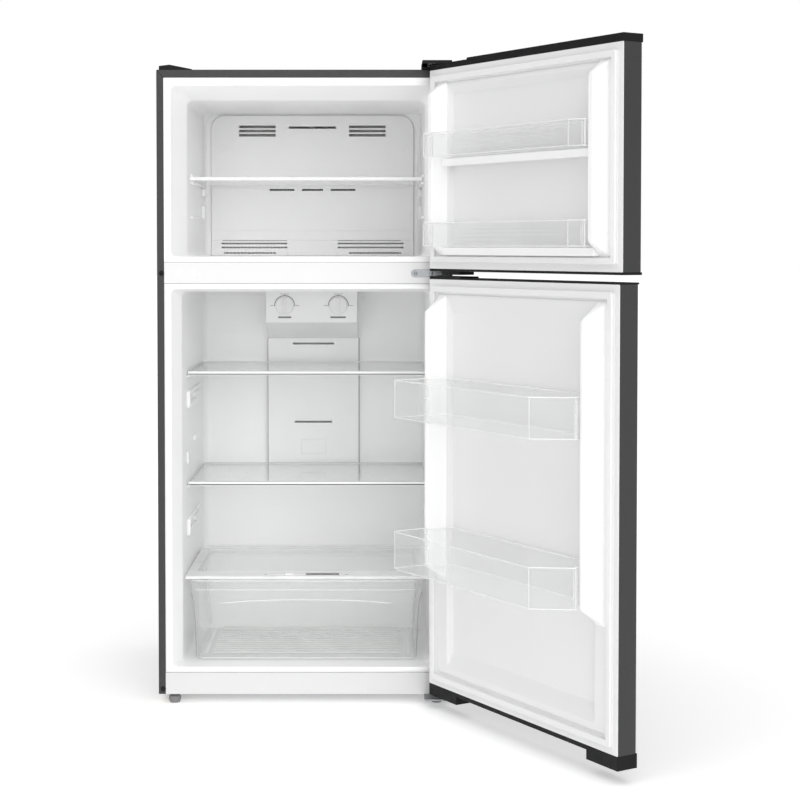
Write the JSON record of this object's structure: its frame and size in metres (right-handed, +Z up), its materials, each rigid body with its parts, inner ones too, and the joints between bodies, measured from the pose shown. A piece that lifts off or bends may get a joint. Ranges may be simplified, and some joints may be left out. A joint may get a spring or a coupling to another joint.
{
  "type": "top freezer refrigerator",
  "caption": "Dark grey top freezer refrigerator with both doors open, glass shelves, clear door bins and a crisper drawer.",
  "frame": {"origin": "on the floor, under the middle of the refrigerator's box with both doors open as stored; the cabinet's centre line is at x = -0.179 m and its front flange at y = -0.017 m", "axes": "+Z up, +Y towards the back of the cabinet, +X to the right when facing the open refrigerator, towards the hinges"},
  "size_m": [1.0581, 1.293, 1.526],
  "materials": {
    "cabinet_paint": "satin",
    "galvanised_steel": "satin",
    "zinc_steel": "satin",
    "white_liner": "satin",
    "white_painted": "satin",
    "insulation": "matte",
    "white_plastic": "satin",
    "black_plastic": "matte",
    "grey_plastic": "matte",
    "clear_plastic": "gloss",
    "shelf_glass": "gloss",
    "gasket_rubber": "matte",
    "aluminium_fins": "satin",
    "compressor_black": "satin",
    "black_rubber": "matte",
    "copper": "satin",
    "knob_plastic": "satin"
  },
  "bodies": {
    "cabinet": {"cabinet_shell": "cabinet_paint", "rear_panel": "galvanised_steel", "base_pan": "galvanised_steel", "front_rail": "white_painted", "mullion_cover": "white_painted", "fridge_liner": "white_liner", "freezer_liner": "white_liner", "cabinet_foam": "insulation", "divider_foam": "insulation", "evaporator_cover": "white_plastic", "evaporator_coil": "aluminium_fins", "fan_motor": "black_plastic", "duct_cover": "white_plastic", "deodoriser_cover": "white_plastic", "control_housing": "white_plastic", "crisper_cover_frame": "clear_plastic", "crisper_cover_glass": "shelf_glass", "top_hinge": "zinc_steel", "top_hinge_cover": "black_plastic", "hinge_blank_cover": "black_plastic", "middle_hinge": "zinc_steel", "bottom_hinge": "zinc_steel", "compressor_plate": "galvanised_steel", "compressor": "compressor_black", "compressor_grommets": "black_rubber", "start_relay_box": "black_plastic", "evaporating_tray": "black_plastic", "cord_gland": "black_rubber", "rear_spacers": "black_plastic", "screws": "zinc_steel", "refrigerant_tubes": "copper"},
    "evaporator_fan": {"evaporator_fan": "white_plastic"},
    "damper_flap": {"damper_flap": "white_plastic"},
    "freezer_knob": {"freezer_knob": "knob_plastic"},
    "fridge_knob": {"fridge_knob": "knob_plastic"},
    "upper_shelf": {"upper_shelf_glass": "shelf_glass", "upper_shelf_trim": "white_plastic"},
    "lower_shelf": {"lower_shelf_glass": "shelf_glass", "lower_shelf_trim": "white_plastic"},
    "freezer_shelf": {"freezer_shelf": "clear_plastic"},
    "humidity_slider": {"humidity_slider": "white_plastic"},
    "crisper_drawer": {"crisper_drawer": "clear_plastic"},
    "left_foot": {"left_foot": "grey_plastic"},
    "right_foot": {"right_foot": "grey_plastic"},
    "left_roller": {"left_roller": "grey_plastic"},
    "right_roller": {"right_roller": "grey_plastic"},
    "freezer_door": {"freezer_door_skin": "cabinet_paint", "freezer_door_liner": "white_liner", "freezer_door_foam": "insulation", "freezer_door_gasket": "gasket_rubber", "freezer_door_end_caps": "black_plastic"},
    "fridge_door": {"fridge_door_skin": "cabinet_paint", "fridge_door_liner": "white_liner", "fridge_door_foam": "insulation", "fridge_door_gasket": "gasket_rubber", "fridge_door_end_caps": "black_plastic"},
    "freezer_upper_bin": {"freezer_upper_bin": "clear_plastic"},
    "freezer_lower_bin": {"freezer_lower_bin": "clear_plastic"},
    "fridge_upper_bin": {"fridge_upper_bin": "clear_plastic"},
    "fridge_lower_bin": {"fridge_lower_bin": "clear_plastic"}
  },
  "joints": [
    {"name": "freezer_door_hinge", "type": "hinge", "parent": "cabinet", "child": "freezer_door", "pos_m": [0.1499, -0.0538, 1.27], "axis": [0, 0, 1], "range_deg": [-121.86, 13.14]},
    {"name": "fridge_door_hinge", "type": "hinge", "parent": "cabinet", "child": "fridge_door", "pos_m": [0.1499, -0.0538, 0.54], "axis": [0, 0, 1], "range_deg": [-121.27, 13.73]},
    {"name": "freezer_upper_bin_lift", "type": "slide", "parent": "freezer_door", "child": "freezer_upper_bin", "axis": [0, 0, 1], "range_m": [0, 0.04]},
    {"name": "freezer_lower_bin_lift", "type": "slide", "parent": "freezer_door", "child": "freezer_lower_bin", "axis": [0, 0, 1], "range_m": [0, 0.04]},
    {"name": "fridge_upper_bin_lift", "type": "slide", "parent": "fridge_door", "child": "fridge_upper_bin", "axis": [0, 0, 1], "range_m": [0, 0.05]},
    {"name": "fridge_lower_bin_lift", "type": "slide", "parent": "fridge_door", "child": "fridge_lower_bin", "axis": [0, 0, 1], "range_m": [0, 0.05]},
    {"name": "freezer_shelf_slide", "type": "slide", "parent": "cabinet", "child": "freezer_shelf", "axis": [0, -1, 0], "range_m": [0, 0.25]},
    {"name": "upper_shelf_slide", "type": "slide", "parent": "cabinet", "child": "upper_shelf", "axis": [0, -1, 0], "range_m": [0, 0.2]},
    {"name": "lower_shelf_slide", "type": "slide", "parent": "cabinet", "child": "lower_shelf", "axis": [0, -1, 0], "range_m": [0, 0.2]},
    {"name": "crisper_drawer_slide", "type": "slide", "parent": "cabinet", "child": "crisper_drawer", "axis": [0, -1, 0], "range_m": [0, 0.32]},
    {"name": "humidity_slide", "type": "slide", "parent": "cabinet", "child": "humidity_slider", "axis": [1, 0, 0], "range_m": [0, 0.08]},
    {"name": "freezer_knob_turn", "type": "hinge", "parent": "cabinet", "child": "freezer_knob", "pos_m": [-0.249, 0.3875, 0.939], "axis": [0, 1, 0], "range_deg": [-90, 90]},
    {"name": "fridge_knob_turn", "type": "hinge", "parent": "cabinet", "child": "fridge_knob", "pos_m": [-0.109, 0.3875, 0.939], "axis": [0, 1, 0], "range_deg": [-90, 90]},
    {"name": "damper_turn", "type": "hinge", "parent": "cabinet", "child": "damper_flap", "pos_m": [-0.179, 0.473, 0.962], "axis": [1, 0, 0], "range_deg": [-31.5, 31.5]},
    {"name": "evaporator_fan_spin", "type": "hinge", "parent": "cabinet", "child": "evaporator_fan", "pos_m": [-0.179, 0.488, 1.385], "axis": [0, 1, 0], "continuous": true},
    {"name": "left_foot_turn", "type": "hinge", "parent": "cabinet", "child": "left_foot", "pos_m": [-0.493, 0.008, 0.01], "axis": [0, 0, 1], "continuous": true},
    {"name": "right_foot_turn", "type": "hinge", "parent": "cabinet", "child": "right_foot", "pos_m": [0.135, 0.008, 0.01], "axis": [0, 0, 1], "continuous": true},
    {"name": "left_roller_spin", "type": "hinge", "parent": "cabinet", "child": "left_roller", "pos_m": [-0.441, 0.573, 0.014], "axis": [1, 0, 0], "continuous": true},
    {"name": "right_roller_spin", "type": "hinge", "parent": "cabinet", "child": "right_roller", "pos_m": [0.083, 0.573, 0.014], "axis": [1, 0, 0], "continuous": true}
  ],
  "couplings": [
    {"joint": "damper_turn", "follows": "freezer_knob_turn", "ratio": 0.35}
  ]
}
